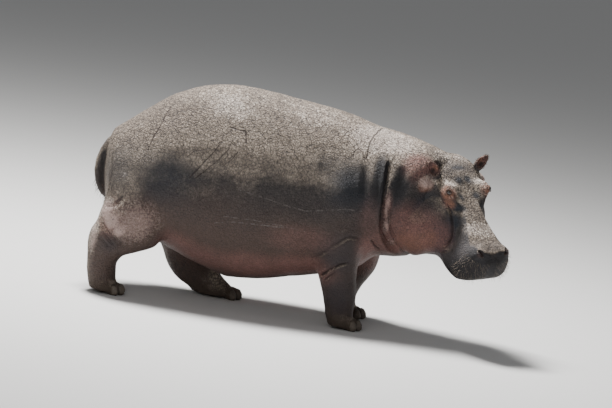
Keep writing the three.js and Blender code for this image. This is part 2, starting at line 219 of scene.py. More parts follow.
neck_bend = np.array([
    (0.545, -0.280, 1.150), (0.550, -0.310, 1.080), (0.550, -0.318, 1.010), (0.552, -0.316, 0.940), (0.556, -0.305, 0.870),
    (0.565, -0.285, 0.800), (0.588, -0.250, 0.730), (0.625, -0.205, 0.670), (0.670, -0.150, 0.610), (0.720, -0.085, 0.565),
])
for shrink in (1.0, 0.84, 0.66):
    zones = [(eyes[side][0], 0.068 * shrink) for side in (-1, 1)]
    if shrink > 0.8:
        zones += [(root + axes @ (0, 0, 0.062), 0.094 * shrink) for root, axes in ears.values()]
        zones += [(from_head((0.655, side * 0.095, 0.005)), 0.080 * shrink) for side in (-1, 1)]
    if shrink > 0.9:
        zones += [(from_head((0.34, side * 0.13, -0.13)), 0.12) for side in (-1, 1)]
        zones += [(from_head((0.40, side * 0.15, -0.24)), 0.09) for side in (-1, 1)]
        zones += [(at, 0.055) for at in neck_bend]
    finer(zones)

spots = read(hide)
weights = hide.vertex_groups.new(name="fresh")
fresh = np.zeros(len(spots))
for side in (-1, 1):
    root, axes = ears[side]
    fresh = np.maximum(fresh, near(spots, eyes[side][0], 0.07))
    fresh = np.maximum(fresh, near(spots, root + axes @ (0, 0, 0.060), 0.095))
    fresh = np.maximum(fresh, near(spots, from_head((0.655, side * 0.095, 0.005)), 0.08))
weights.add(np.flatnonzero(fresh > 0.3).tolist(), 1.0, "REPLACE")
finished(hide, "SMOOTH", factor=0.5, iterations=12, vertex_group="fresh")

# ---------------------------------------------------------------- hide: folds
# Folds where the skin doubles up: round the neck on the inside of its bend, at the elbows, hocks and
# buttocks, and on the cheek and lips. Each is pressed in along its line, with a roll beside it.
def curve(points, steps=8):
    points = np.asarray(points, float)
    ends = np.vstack([2 * points[0] - points[1], points, 2 * points[-1] - points[-2]])
    share = np.linspace(0, 1, steps, endpoint=False)[:, None]
    runs = [
        0.5 * (2 * b + (c - a) * share + (2 * a - 5 * b + 4 * c - d) * share**2 + (3 * b - a - 3 * c + d) * share**3)
        for a, b, c, d in zip(ends, ends[1:], ends[2:], ends[3:])
    ]
    return np.vstack(runs + [points[-1:]])


def beside(line, reach):
    line = curve(line)
    rows = np.flatnonzero(np.all((spots > line.min(0) - reach) & (spots < line.max(0) + reach), axis=1))
    best = np.full(len(rows), np.inf)
    share = np.zeros(len(rows))
    left = np.zeros(len(rows))
    steps = np.diff(line, axis=0)
    lengths = np.linalg.norm(steps, axis=1)
    travelled = np.concatenate([[0], np.cumsum(lengths)])
    for start, step, length, done in zip(line, steps, lengths, travelled):
        gap = spots[rows] - start
        along = np.clip(gap @ step / length**2, 0, 1)
        gap = gap - along[:, None] * step
        height = np.sum(gap * facing[rows], axis=1)
        gap = gap - height[:, None] * facing[rows]
        away = np.linalg.norm(gap, axis=1) + np.maximum(np.abs(height) - 0.04, 0)
        closer = away < best
        best[closer] = away[closer]
        share[closer] = (done + along[closer] * length) / travelled[-1]
        left[closer] = np.sum(np.cross(step / length, gap) * facing[rows], axis=1)[closer]
    keep = best < reach
    return rows[keep], best[keep], share[keep], left[keep]


folds = []


# wide: half width; deep: depth; left_roll, right_roll: rolls beside it; slope: a long slope down to it
# from its left, its length and depth; the last argument: how dark shade is painted along it, by default from its depth
def fold(line, wide, deep, left_roll=0.0, right_roll=0.0, taper=0.22, slope=None, stain_and_shade=None):
    folds.append((line, wide, min(1, deep / 0.016) if stain_and_shade is None else stain_and_shade, taper))
    rows, away, share, left = beside(line, max(5 * wide, 2 * slope[0] if slope else 0))
    fade = ramp(np.minimum(share, 1 - share), 0, taper)
    roll = np.where(left > 0, left_roll, right_roll) * np.exp(-(((away - 2.1 * wide) / (1.1 * wide)) ** 2))
    lift[rows] += fade * (roll - deep * np.exp(-((away / wide) ** 2)))
    if slope:
        down = np.where(left > 0, np.exp(-((away / slope[0]) ** 2)), np.exp(-((away / wide) ** 2)))
        lift[rows] -= fade * slope[1] * down


def swelling(at, size, height):
    lift[:] += height * ramp(np.linalg.norm((spots - np.asarray(at)) / np.asarray(size), axis=1), 1, 0)


def ripple(points, size, seed):
    rng = np.random.default_rng(seed)
    ways = rng.normal(size=(9, 3))
    ways /= np.linalg.norm(ways, axis=1)[:, None]
    return sum(
        np.sin(points @ way * 2 * np.pi / size * scale + turn)
        for way, turn, scale in zip(ways, rng.uniform(0, 6.3, 9), rng.uniform(0.6, 1.5, 9))
    ) / 4


def press():
    global spots, facing
    spots = spots + lift[:, None] * facing
    lift[:] = 0
    hide.data.vertices.foreach_set("co", spots.ravel())
    hide.data.update()
    facing = read(hide, "normal")


spots = read(hide)
facing = read(hide, "normal")
lift = np.zeros(len(spots))

# slack flesh over barrel, hip and shoulder
body_share = 1 - ramp(in_head(spots)[:, 0], -0.15, 0.05) * ramp(spots[:, 0], 0.55, 0.7)
lift += 0.0025 * body_share * ripple(spots, 0.30, 3)
lift += 0.0012 * body_share * ripple(spots, 0.11, 5)
for side in (-1, 1):
    swelling((-0.93, MIDDLE + side * 0.33, 1.05), (0.16, 0.2, 0.2), 0.018)
    swelling((-0.75, MIDDLE + side * 0.42, 0.62), (0.26, 0.2, 0.24), 0.016)
    swelling((0.26, MIDDLE + side * 0.43, 0.86), (0.20, 0.2, 0.30), 0.016)
    swelling((0.12, MIDDLE + side * 0.42, 0.62), (0.13, 0.2, 0.16), -0.010)
press()

# neck, on the inside of its bend
neck_fold = [
    (0.536, -0.238, 1.208), (0.535, -0.282, 1.138), (0.537, -0.312, 1.047), (0.537, -0.317, 0.938),
    (0.541, -0.306, 0.854), (0.546, -0.288, 0.783), (0.566, -0.242, 0.697), (0.604, -0.183, 0.626),
    (0.650, -0.119, 0.569), (0.700, -0.060, 0.535),
]
fold(neck_fold, 0.012, 0.018, 0.0, 0.012, 0.14, slope=(0.080, 0.024), stain_and_shade=0)
press()
fold(neck_fold, 0.007, 0.014, 0.0, 0.005, 0.2, stain_and_shade=0.8)
fold(
    [(0.556, -0.316, 0.954), (0.576, -0.304, 0.894), (0.592, -0.281, 0.832), (0.608, -0.251, 0.762),
     (0.633, -0.212, 0.691), (0.670, -0.154, 0.626), (0.720, -0.078, 0.574), (0.774, 0.017, 0.540)],
    0.007, 0.013, 0.005, 0.004, stain_and_shade=0.8,
)
press()
fold([(0.628, -0.263, 1.182), (0.630, -0.297, 1.105), (0.628, -0.309, 1.018), (0.620, -0.300, 0.934), (0.612, -0.280, 0.849)], 0.034, 0.020, 0.004, 0.006, stain_and_shade=0)
fold([(0.396, -0.195, 1.255), (0.394, -0.275, 1.136), (0.401, -0.312, 1.005), (0.415, -0.321, 0.872)], 0.022, 0.008, 0.004, 0.008, stain_and_shade=0)
fold([(0.490, -0.232, 0.644), (0.533, -0.171, 0.587), (0.579, -0.121, 0.552)], 0.010, 0.012, 0.003, 0.003)
swelling((0.80, -0.14, 0.585), (0.10, 0.12, 0.09), 0.026)
for side in (-1, 1):
    def placed(points):
        return [(x, y, z) if side < 0 else (x + 0.12, 2 * MIDDLE - y, z) for x, y, z in points]

    # elbow
    fold(placed([(0.191, -0.221, 0.328), (0.244, -0.317, 0.393), (0.305, -0.337, 0.440), (0.393, -0.303, 0.482)]), 0.011, 0.016, 0.006, 0.004)
    fold(placed([(0.222, -0.264, 0.312), (0.268, -0.315, 0.369), (0.316, -0.330, 0.413)]), 0.009, 0.010, 0.002, 0.002)
    fold(placed([(0.119, -0.258, 0.447), (0.168, -0.280, 0.485), (0.222, -0.338, 0.537)]), 0.012, 0.008, 0.002, 0.002)
    fold(placed([(0.203, -0.323, 0.531), (0.281, -0.355, 0.596), (0.355, -0.340, 0.646), (0.439, -0.254, 0.626)]), 0.014, 0.008, 0.003, 0.003)
# buttock and hock of the right hind leg
fold([(-1.330, -0.240, 0.543), (-1.297, -0.299, 0.488), (-1.237, -0.335, 0.420), (-1.162, -0.333, 0.370), (-1.110, -0.325, 0.350)], 0.016, 0.013, 0.006, 0.0, stain_and_shade=0.3)
swelling((-1.215, -0.330, 0.505), (0.15, 0.15, 0.16), 0.016)
fold([(-1.279, -0.317, 0.418), (-1.232, -0.327, 0.378), (-1.192, -0.322, 0.329)], 0.009, 0.007, 0.002, 0.002)
fold([(-1.300, -0.300, 0.385), (-1.250, -0.325, 0.345), (-1.205, -0.318, 0.305)], 0.009, 0.006, 0.002, 0.002)
fold([(-1.303, -0.152, 0.974), (-1.296, -0.200, 0.878), (-1.290, -0.237, 0.782), (-1.296, -0.235, 0.690), (-1.325, -0.235, 0.590)], 0.013, 0.008, 0.008, 0.003, 0.3, stain_and_shade=0.3)
fold([(-1.310, -0.257, 0.596), (-1.245, -0.326, 0.609), (-1.203, -0.343, 0.652), (-1.167, -0.353, 0.693)], 0.013, 0.007, 0.002, 0.004, stain_and_shade=0.2)
press()

# face, the same on both sides
for side in (-1, 1):
    def face(points):
        return from_head([(x, side * y, z) for x, y, z in points])

    fold(face([(0.172, 0.168, -0.020), (0.211, 0.135, -0.063), (0.266, 0.127, -0.081), (0.323, 0.122, -0.117), (0.361, 0.120, -0.156), (0.387, 0.121, -0.202), (0.403, 0.142, -0.239), (0.406, 0.171, -0.273)]), 0.0085, 0.013, 0.005, 0.004, 0.2, stain_and_shade=0.6)
    fold(face([(0.410, 0.165, -0.268), (0.459, 0.173, -0.291), (0.526, 0.180, -0.286), (0.608, 0.182, -0.258), (0.655, 0.160, -0.240), (0.685, 0.110, -0.232), (0.690, 0.0, -0.235)]), 0.008, 0.008, 0.003, 0.003, 0.35, stain_and_shade=0.45)
    # the bridge of the nose has an edge along each side, and the side below it is flat
    fold(face([(0.165, 0.070, 0.018), (0.225, 0.060, 0.0), (0.330, 0.064, -0.012), (0.440, 0.090, -0.030), (0.560, 0.120, -0.045)]), 0.020, -0.008, 0.0, 0.0, 0.2, stain_and_shade=0)
    swelling(face([(0.36, 0.125, -0.09)])[0], (0.12, 0.08, 0.08), -0.010)
    swelling(face([(0.030, 0.240, -0.055)])[0], (0.080, 0.070, 0.070), 0.028)
    # a groove parts the orbit from the lump under the ear, and runs down into the cheek
    fold(face([(0.080, 0.190, -0.010), (0.098, 0.192, -0.040), (0.135, 0.178, -0.062), (0.178, 0.160, -0.066), (0.215, 0.142, -0.070)]), 0.012, 0.012, 0.003, 0.003, 0.25, stain_and_shade=0.4)
    press()
    # nostril: a slanting slit with a raised rim
    swelling(face([(0.650, 0.100, 0.006)])[0], (0.06, 0.06, 0.06), 0.008)
    fold(face([(0.622, 0.112, 0.012), (0.650, 0.104, 0.018), (0.684, 0.084, 0.0)]), 0.0085, 0.026, 0.003, 0.003, 0.3)
    press()
    # whisker pads, creased where the lip bends
    fold(face([(0.639, 0.174, -0.099), (0.655, 0.158, -0.086), (0.675, 0.140, -0.073)]), 0.006, 0.003, 0.001, 0.001)
    fold(face([(0.650, 0.176, -0.118), (0.672, 0.150, -0.108), (0.692, 0.130, -0.098)]), 0.006, 0.0035, 0.001, 0.001)
    fold(face([(0.665, 0.172, -0.138), (0.684, 0.150, -0.128), (0.700, 0.122, -0.112)]), 0.006, 0.003, 0.001, 0.001)
    fold(face([(0.411, 0.172, -0.301), (0.435, 0.165, -0.275), (0.457, 0.153, -0.248)]), 0.005, 0.004, 0.001, 0.001)
press()

# lids: the skin closes round each eyeball and rolls over it, with creases above and below
EYE = 0.023


# round one eye: each point's way out from the ball, its distance, and its angle from the middle of the
# opening as a share of the lid's edge, above and below alike
def round_eye(side):
    at, axis = eyes[side]
    axis = axis / np.linalg.norm(axis)
    level = head_frame[:3, :3] @ (0.75, side * -0.66, -0.02)
    level = level - axis * (level @ axis)
    level /= np.linalg.norm(level)
    above = np.cross(axis, level)
    above *= np.sign(above @ (head_frame[:3, :3] @ (-1, 0, 1)))
    out = spots - at
    far = np.linalg.norm(out, axis=1)
    way = out / np.maximum(far, 1e-6)[:, None]
    height = way @ above
    edge = np.hypot(way @ level / 0.80, height / np.where(height > 0, 0.66, 0.62))
    edge[(far > 0.1) | (way @ axis < 0)] = 9
    return way, far, edge, height, axis, level, above


for side in (-1, 1):
    way, far, edge, *_ = round_eye(side)
    rows = np.flatnonzero((far < 0.08) & (edge < 2.0))
    e = edge[rows]
    lid = 0.0165 + 0.0090 * ramp(e, 0.84, 1.03)
    lid += 0.0024 * np.exp(-(((e - 1.13) / 0.09) ** 2)) - 0.0028 * np.exp(-(((e - 1.34) / 0.06) ** 2))
    lid += 0.0020 * np.exp(-(((e - 1.50) / 0.07) ** 2)) - 0.0024 * np.exp(-(((e - 1.70) / 0.06) ** 2))
    share = ramp(e, 1.95, 1.15)
    wanted = far[rows] * (1 - share) + np.where(e < 1.2, lid, np.maximum(lid, far[rows] + lid - 0.0253)) * share
    spots[rows] = eyes[side][0] + way[rows] * wanted[:, None]
press()
for side in (-1, 1):
    at = eyes[side][0]
    *_, axis, level, above = round_eye(side)
    for radius, depth, sweep in ((0.0265, 0.0035, 1.9), (0.0385, 0.0035, 1.6), (0.030, 0.0025, -1.2)):
        turns = np.linspace(-sweep, sweep, 9) if sweep > 0 else np.linspace(np.pi + sweep, np.pi - sweep, 7)
        arc = [at + axis * 0.014 + radius * (np.sin(turn) * level + np.cos(turn) * above) for turn in turns]
        fold(arc, 0.0042, depth, 0.0012, 0.0012, 0.25, stain_and_shade=0.35)
press()

# ears: a cup with a rolled rim, hollowed from the front of a spoon-shaped ear
EAR_HALF = 0.040
for side, (root, axes) in ears.items():
    local = (spots - root) @ axes
    inside = np.hypot(
        local[:, 1] / ((EAR_HALF - 0.009) * (1 - 0.3 * (local[:, 2] - 0.058) / 0.05)), (local[:, 2] - 0.060) / 0.053
    )
    rows = np.flatnonzero((inside < 1.0) & (local[:, 0] > -0.002) & (np.abs(local[:, 0]) < 0.03) & (local[:, 2] > 0.004))
    cup = np.sqrt(np.clip(1 - inside[rows] ** 2, 0, 1))
    local[rows, 0] += (-0.010 * cup - local[rows, 0]) * ramp(inside[rows], 1.0, 0.80)
    spots[rows] = root + local[rows] @ axes.T

spots[:, 2] = np.maximum(spots[:, 2], 0.0004)
press()
bpy.ops.object.shade_smooth()

# thinned where it is smooth, kept fine on the head
groups = hide.vertex_groups.new(name="coarse")
here = in_head(spots)
fine = ramp(here[:, 0], 0.0, 0.1) * ramp(spots[:, 0], 0.75, 0.85)
for root, axes in ears.values():
    fine = np.maximum(fine, near(spots, root + axes @ (0, 0, 0.06), 0.1))
groups.add(np.flatnonzero(fine < 0.5).tolist(), 1.0, "REPLACE")
faces = sum(len(face.vertices) - 2 for face in hide.data.polygons)
finished(hide, "DECIMATE", ratio=190000 / faces, vertex_group="coarse")
print("hide triangles", faces, sum(len(face.vertices) - 2 for face in hide.data.polygons))

# ---------------------------------------------------------------- hide: tones and finish
# Grey-brown and bare, dusted where it faces up, pink at belly, cheeks, ears and folds, painted bluish shadow over the
# shoulder, black and damp round the nostrils. Light is painted in too: a lit tone where it faces the light, painted
# shade in folds, hollows and under the muzzle, and painted highlights on the nape, neck roll and haunch. Tones soften
# into each other, so they are held per point.
spots = read(hide)
facing = read(hide, "normal")
here = in_head(spots)
is_head = ramp(here[:, 0], -0.10, 0.02) * ramp(spots[:, 0], 0.72, 0.80)


def tone(places, core=0.1):
    amount = np.zeros(len(spots))
    for at, size, strength in places:
        amount = np.maximum(amount, strength * near(spots, at, size, core))
    return amount


def both(places, start=0):
    return [
        ((x, y if side < 0 else 2 * MIDDLE - y, z), size, strength)
        for (x, y, z), size, strength in places
        for side in (-1, 1)
    ]


def both_faces(places):
    return [
        (from_head((x, side * y, z)), size, strength) for (x, y, z), size, strength in places for side in (-1, 1)
    ]


# painted shade along each fold, darkest on its line
crease = np.zeros(len(spots))
for line, wide, depth, taper in folds:
    if not depth:
        continue
    rows, away, share, left = beside(line, 2.6 * wide)
    dark = depth * ramp(np.minimum(share, 1 - share), 0, taper) * np.exp(-((away / (0.6 * wide)) ** 2))
    crease[rows] = np.maximum(crease[rows], dark)

blush = tone(
    both([
        ((-0.62, -0.20, 0.33), (0.34, 0.30, 0.16), 0.75),
        ((-0.28, -0.25, 0.33), (0.40, 0.34, 0.16), 0.9),
        ((0.05, -0.22, 0.37), (0.36, 0.30, 0.15), 0.95),
        ((0.11, -0.23, 0.41), (0.12, 0.12, 0.07), 1.0),
        ((0.50, -0.10, 0.45), (0.16, 0.22, 0.16), 0.9),
        ((-0.78, -0.20, 0.42), (0.22, 0.22, 0.16), 0.7),
        ((0.03, -0.36, 0.58), (0.32, 0.20, 0.14), 0.45),
        ((0.46, -0.30, 0.78), (0.10, 0.20, 0.22), 0.35),
        ((0.47, -0.18, 0.58), (0.15, 0.2, 0.15), 1.0),
    ])
    + [
        ((-1.25, -0.31, 0.53), (0.14, 0.14, 0.18), 0.75),
        ((-1.08, -0.36, 0.54), (0.24, 0.18, 0.20), 0.30),
        ((0.572, -0.300, 0.86), (0.050, 0.14, 0.16), 1.0),
        ((0.600, -0.240, 0.70), (0.070, 0.14, 0.14), 1.0),
        ((0.680, -0.110, 0.59), (0.14, 0.14, 0.07), 1.0),
        ((0.70, -0.26, 0.78), (0.17, 0.16, 0.20), 0.85),
    ]
    + both_faces([
        ((0.25, 0.25, -0.30), (0.26, 0.24, 0.24), 0.95),
        ((0.33, 0.18, -0.24), (0.16, 0.14, 0.16), 0.85),
        ((0.20, 0.40, -0.42), (0.24, 0.24, 0.24), 0.9),
        ((-0.07, 0.29, 0.02), (0.16, 0.13, 0.14), 1.0),
        ((0.03, 0.242, -0.065), (0.065, 0.065, 0.065), 0.9),
        ((0.17, 0.155, 0.03), (0.085, 0.085, 0.085), 0.8),
        ((0.20, 0.13, -0.05), (0.07, 0.07, 0.06), 0.7),
        ((0.655, 0.105, 0.0), (0.03, 0.03, 0.03), 0.8),
    ])
    + [(root + axes @ (0, 0, 0.06), 0.075, 1.0) for root, axes in ears.values()],
    0.25,
)
# painted shadow: a dark bluish tone where shade falls, over the shoulder, hip, rump, forelegs and right hock, in the
# hollows beside the neck fold, on the upper cheeks, brow and snout sides
slate = tone(
    both([
        ((0.30, -0.33, 1.00), (0.28, 0.26, 0.25), 1.0),
        ((0.15, -0.31, 1.08), (0.2, 0.2, 0.16), 0.6),
        ((-1.24, -0.24, 0.84), (0.26, 0.28, 0.30), 0.7),
        ((-0.96, -0.34, 0.88), (0.38, 0.24, 0.26), 0.72),
        ((0.34, -0.30, 0.22), (0.22, 0.22, 0.26), 0.6),
        ((0.30, -0.33, 0.50), (0.24, 0.22, 0.26), 0.55),
    ])
    + [((-1.235, -0.320, 0.350), (0.120, 0.12, 0.110), 0.45)]
    + [((0.492, -0.30, 1.06), (0.080, 0.20, 0.26), 1.0), ((0.628, -0.31, 1.03), (0.075, 0.16, 0.24), 1.0)]
    + both_faces([
        ((0.14, 0.23, -0.16), (0.17, 0.15, 0.13), 0.95),
        ((0.33, 0.12, -0.09), (0.16, 0.07, 0.12), 0.85),
        ((0.50, 0.17, -0.16), (0.16, 0.12, 0.15), 0.95),
        ((-0.025, 0.02, 0.04), (0.085, 0.060, 0.06), 1.0),
        ((0.075, 0.035, 0.03), (0.075, 0.055, 0.06), 1.0),
        ((0.60, 0.05, -0.02), (0.10, 0.08, 0.06), 0.5),
        ((0.195, 0.062, 0.002), (0.060, 0.026, 0.06), 1.0),
        ((0.27, 0.082, -0.02), (0.080, 0.032, 0.06), 1.0),
        ((-0.01, 0.075, 0.03), (0.06, 0.05, 0.06), 0.6),
    ]),
    0.15,
)
# painted shade on the side and front of the snout, below the edge of its bridge
bridge_up = facing @ head_frame[:3, 2]
edge_up = 0.80 + 0.10 * ramp(here[:, 0], 0.42, 0.54)
shaded_snout_side = is_head * ramp(bridge_up, edge_up, edge_up - 0.22)
slate = np.maximum(slate, 0.9 * shaded_snout_side * ramp(here[:, 0], 0.22, 0.32))
# dark skin round the nostrils and down the tail, and painted shade under the muzzle and chin, down the front of the
# nose, in the ear cups and in the hollows beside the neck fold
soot = tone(
    both_faces([
        ((0.705, 0.03, -0.04), (0.05, 0.11, 0.055), 1.0),
        ((0.655, 0.102, 0.010), (0.035, 0.022, 0.030), 0.95),
        ((0.66, 0.10, -0.20), (0.16, 0.16, 0.10), 0.8),
        ((0.60, 0.15, -0.28), (0.22, 0.14, 0.08), 0.75),
        ((0.655, 0.14, -0.10), (0.06, 0.06, 0.06), 0.45),
    ])
    + [((-1.37, 0.08, 0.78), (0.05, 0.10, 0.34), 0.75)]
    + [((0.630, -0.31, 1.03), (0.065, 0.14, 0.20), 0.8), ((0.490, -0.30, 1.05), (0.065, 0.2, 0.26), 0.85), ((0.35, -0.33, 1.02), (0.12, 0.2, 0.16), 0.45)]
    + [(root + axes @ (-0.004, side * 0.008, 0.046), 0.030, 0.85) for side, (root, axes) in ears.items()],
    0.3,
)
# painted shade under the muzzle, and on the front of the nose where it faces down
soot = np.maximum(soot, 0.90 * is_head * ramp(here[:, 2], -0.06, -0.17) * ramp(here[:, 0], 0.44, 0.58))
soot = np.maximum(soot, 0.70 * is_head * ramp(here[:, 0], 0.56, 0.64) * ramp(bridge_up, 0.88, 0.65))
# pale skin and dust, and painted highlights where light falls: on the nose bridge, the brows, the lump under each ear,
# the nape, the neck roll and the haunch
chalk = tone(
    both_faces([
        ((0.10, 0.105, 0.045), (0.10, 0.06, 0.05), 1.0),
        ((0.45, 0.04, -0.02), (0.24, 0.10, 0.07), 1.0),
        ((0.020, 0.240, -0.045), (0.105, 0.10, 0.080), 2.5),
        ((0.045, 0.215, -0.020), (0.060, 0.06, 0.050), 2.0),
        ((0.15, 0.13, 0.06), (0.06, 0.05, 0.04), 1.0),
        ((0.105, 0.135, 0.055), (0.055, 0.045, 0.030), 1.6),
        ((0.185, 0.165, 0.062), (0.03, 0.03, 0.018), 0.9),
        ((0.205, 0.160, 0.020), (0.022, 0.030, 0.022), 0.8),
        ((0.60, 0.115, 0.025), (0.05, 0.05, 0.03), 0.7),
        ((-0.11, 0.08, 0.04), (0.12, 0.13, 0.09), 1.0),
    ])
    + both([
        ((0.47, -0.14, 1.30), (0.38, 0.30, 0.20), 1.25),
        ((-0.57, -0.12, 1.42), (0.50, 0.26, 0.14), 0.35),
        ((0.05, -0.10, 1.38), (0.50, 0.24, 0.14), 0.45),
        ((0.440, -0.32, 1.08), (0.04, 0.16, 0.26), 0.5),
    ])
    + [
        ((0.590, -0.27, 1.14), (0.045, 0.12, 0.20), 0.6),
        ((0.562, -0.30, 1.05), (0.018, 0.10, 0.20), 0.9),
        ((0.572, -0.300, 0.87), (0.034, 0.10, 0.20), 1.9),
        ((0.584, -0.240, 0.72), (0.042, 0.10, 0.15), 1.8),
        ((0.640, -0.160, 0.62), (0.050, 0.10, 0.06), 1.5),
        ((-1.285, -0.300, 0.575), (0.100, 0.14, 0.120), 2.6),
        ((-1.235, -0.335, 0.510), (0.095, 0.14, 0.100), 2.7),
        ((-1.175, -0.350, 0.450), (0.090, 0.14, 0.080), 2.3),
        ((-1.090, -0.360, 0.520), (0.300, 0.18, 0.240), 1.6),
        ((-1.345, -0.240, 0.370), (0.050, 0.18, 0.170), 2.2),
        ((-0.57, -0.20, 1.37), (0.26, 0.16, 0.12), 1.0),
    ],
    0.2,
)
cracked = tone(
    both_faces([((0.02, 0.125, 0.04), (0.12, 0.07, 0.08), 1.0), ((-0.10, 0.10, 0.04), (0.14, 0.12, 0.10), 0.8)])
    + both([((0.42, -0.10, 1.30), (0.22, 0.26, 0.16), 0.5), ((-0.57, -0.20, 1.37), (0.3, 0.2, 0.14), 0.5)]),
    0.4,
)
rust = tone(
    both_faces([
        ((0.165, 0.165, 0.03), (0.085, 0.075, 0.075), 1.0),
        ((0.215, 0.14, -0.03), (0.06, 0.05, 0.05), 0.8),
        ((0.030, 0.245, -0.055), (0.075, 0.075, 0.075), 0.8),
        ((0.24, 0.25, -0.40), (0.18, 0.2, 0.14), 0.6),
        ((0.30, 0.22, -0.30), (0.10, 0.1, 0.10), 0.5),
    ]) + [(root + axes @ (-0.002, side * -0.014, 0.055), 0.034, 0.9) for side, (root, axes) in ears.items()],
    0.35,
)
# dark lid edges, pale crescents on the lids, and painted shade in the creases round them
for side in (-1, 1):
    way, far, edge, height, *_ = round_eye(side)
    close = far < 0.07
    band = lambda middle, width: np.exp(-(((edge - middle) / width) ** 2)) * close
    soot = np.maximum(soot, 0.95 * band(1.0, 0.11))
    chalk = np.maximum(chalk, 1.5 * band(1.30, 0.10) * ramp(-height, 0.1, 0.4))
    chalk = np.maximum(chalk, 1.2 * band(1.20, 0.07) * ramp(height, 0.0, 0.3))
    crease = np.maximum(crease, 0.5 * band(1.38, 0.05) + 0.4 * band(1.72, 0.06))
mud = ramp(spots[:, 2], 0.13, 0.03) * (1 - ramp(spots[:, 0], 0.7, 0.8))
for name, amount in (
    ("crease", crease), ("blush", blush), ("slate", slate), ("soot", soot), ("chalk", chalk), ("mud", mud),
    ("cracked", cracked), ("rust", rust),
):
    hide.data.attributes.new(name, "FLOAT", "POINT").data.foreach_set("value", amount)


class Shade:
    """A socket in one material; sums and products of shades add their Math nodes."""

    def __init__(self, tree, socket=None):
        self.tree, self.socket = tree, socket

    def node(self, kind, settings=None, sockets=None, outlet=0):
        node = self.tree.nodes.new("ShaderNode" + kind)
        for name, value in (settings or {}).items():
            if name == "stops":
                ramp_of = node.color_ramp
                while len(ramp_of.elements) < len(value):
                    ramp_of.elements.new(0.5)
                for element, (place, colour) in zip(ramp_of.elements, value):
                    element.position, element.color = place, (*colour, 1)
            else:
                setattr(node, name, value)
        for name, value in (sockets or {}).items():
            if isinstance(value, Shade):
                self.tree.links.new(value.socket, node.inputs[name])
            else:
                node.inputs[name].default_value = value
        return Shade(self.tree, node.outputs[outlet])

    def maths(self, operation, *values):
        return self.node("Math", {"operation": operation}, dict(enumerate(values)))

    def __add__(self, other):
        return self.maths("ADD", self, other)

    def __sub__(self, other):
        return self.maths("SUBTRACT", self, other)

    def __rsub__(self, other):
        return self.maths("SUBTRACT", other, self)

    def __mul__(self, other):
        return self.maths("MULTIPLY", self, other)

    __radd__ = __add__
    __rmul__ = __mul__

    def least(self, other):
        return self.maths("MINIMUM", self, other)

    def most(self, other):
        return self.maths("MAXIMUM", self, other)

    def rising(self, low, high, to=1.0):
        return self.node(
            "MapRange", {"interpolation_type": "SMOOTHSTEP"}, {0: self, 1: low, 2: high, 3: 0.0, 4: to}
        )

    def vector(self, operation, *values, outlet=0):
        return self.node("VectorMath", {"operation": operation}, dict(enumerate(values)), outlet)

    def over(self, under, amount):
        """this colour laid over another"""
        top = self if isinstance(self, Shade) else self
        return self.node("Mix", {"data_type": "RGBA"}, {0: amount, 6: under, 7: top}, 2)

    def stretched(self, scale):
        return self.vector("MULTIPLY", self, scale)

    def noise(self, scale, detail=3.0, roughness=0.55, distortion=0.0):
        return self.node(
            "TexNoise", None,
            {"Vector": self, "Scale": scale, "Detail": detail, "Roughness": roughness, "Distortion": distortion},
        )

    def cells(self, scale, feature="F1", randomness=1.0, outlet="Distance"):
        return self.node(
            "TexVoronoi", {"feature": feature}, {"Vector": self, "Scale": scale, "Randomness": randomness}, outlet
        )


def material(name, **constants):
    made = bpy.data.materials.new(name)
    made.use_nodes = True
    surface = made.node_tree.nodes["Principled BSDF"]
    for socket, value in constants.items():
        surface.inputs[socket.replace("_", " ")].default_value = value
    return made, Shade(made.node_tree), surface


def laid(paint, under, colour, amount):
    """a colour laid over another by an amount"""
    return paint.node("Mix", {"data_type": "RGBA"}, {0: amount, 6: under, 7: (*colour, 1)}, 2)


skin, paint, surface = material("bare hide")
place = paint.node("TexCoord", outlet="Object")
held = {name: paint.node("Attribute", {"attribute_name": name}, outlet="Fac") for name in ("crease", "blush", "slate", "soot", "chalk", "mud", "cracked", "rust")}
normal = paint.node("NewGeometry", outlet="Normal")
height = paint.node("SeparateXYZ", None, {0: place}, 2)

# large and middling blotches, and a warped place that keeps every pattern from looking ruled
broad = place.noise(3.2, 4)
blotch = place.noise(13, 4, 0.6)
mottle = place.noise(48, 3, 0.6)
warp = paint.node("TexNoise", None, {"Vector": place, "Scale": 22.0, "Detail": 2.0}, "Color")
warped = place.vector("ADD", place, warp.vector("MULTIPLY", warp, (0.012, 0.012, 0.012)))

# fine net of wrinkles: long cells down the flank, crossed by shorter ones, pores between, and a coarse
# crackle on nape, brow and rump
net = warped.stretched((1.0, 1.0, 0.6)).cells(64, "DISTANCE_TO_EDGE").rising(0.0, 0.20)
cross_net = warped.stretched((0.6, 0.6, 1.3)).cells(40, "DISTANCE_TO_EDGE").rising(0.0, 0.13)
crackle = warped.cells(44, "DISTANCE_TO_EDGE").rising(0.02, 0.16)
grain = place.noise(330, 3, 0.6)
grit = place.noise(100, 3, 0.75).rising(0.43, 0.58)
pores = warped.stretched((1, 1, 0.85)).cells(74).rising(0.10, 0.34)
lines = ((1 - net) * 0.6 + (1 - cross_net) * 0.5).most((1 - crackle) * held["cracked"] * 1.3)

# single marks on the right flank, each a run of (x, z): a scratch down the rump, a wound on the back,
# long wrinkles and a crease across the nape; old pale scars lower down
flat = place.stretched((1, 0, 1)).vector("ADD", place.stretched((1, 0, 1)), warp.vector("MULTIPLY", warp, (0.010, 0, 0.010)))
right_side = paint.node("SeparateXYZ", None, {0: place}, 1).rising(MIDDLE - 0.02, MIDDLE - 0.08)


